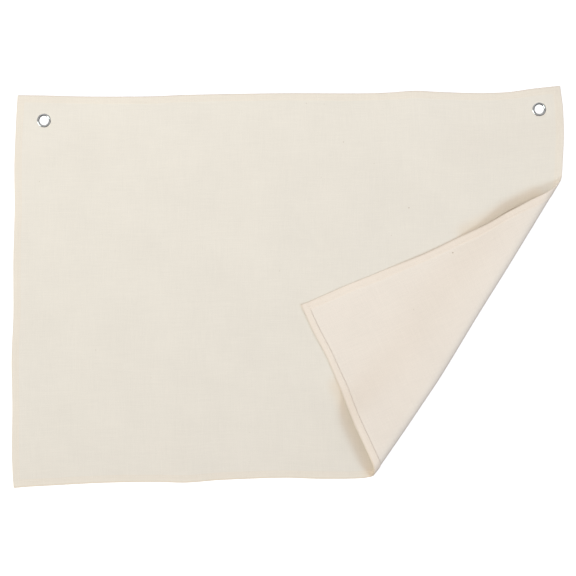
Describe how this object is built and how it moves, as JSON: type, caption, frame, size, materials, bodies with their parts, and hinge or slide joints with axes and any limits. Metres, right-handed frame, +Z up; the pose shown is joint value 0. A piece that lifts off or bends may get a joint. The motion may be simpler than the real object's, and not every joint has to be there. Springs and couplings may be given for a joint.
{
  "type": "canvas wall banner",
  "caption": "Plain ecru canvas wall banner with metal hanging eyelets in its upper corners, lying face up with its lower right corner folded over.",
  "frame": {"origin": "centre of the lying banner's outline, on the surface it lies on", "axes": "+X along the heading to the banner's right, +Y towards the heading, +Z up out of the banner's face"},
  "size_m": [0.7106, 0.5181, 0.0145],
  "materials": {
    "canvas": "plain-weave ecru cotton canvas, matt, with fine slubs",
    "eyelet_nickel": "bright nickel plate on brass",
    "washer_nickel": "plain nickel plate"
  },
  "bodies": {
    "root": {"banner_cloth": "canvas", "heading": "canvas", "eyelet_left": "eyelet_nickel", "eyelet_right": "eyelet_nickel", "washer_left": "washer_nickel", "washer_right": "washer_nickel"}
  },
  "joints": []
}
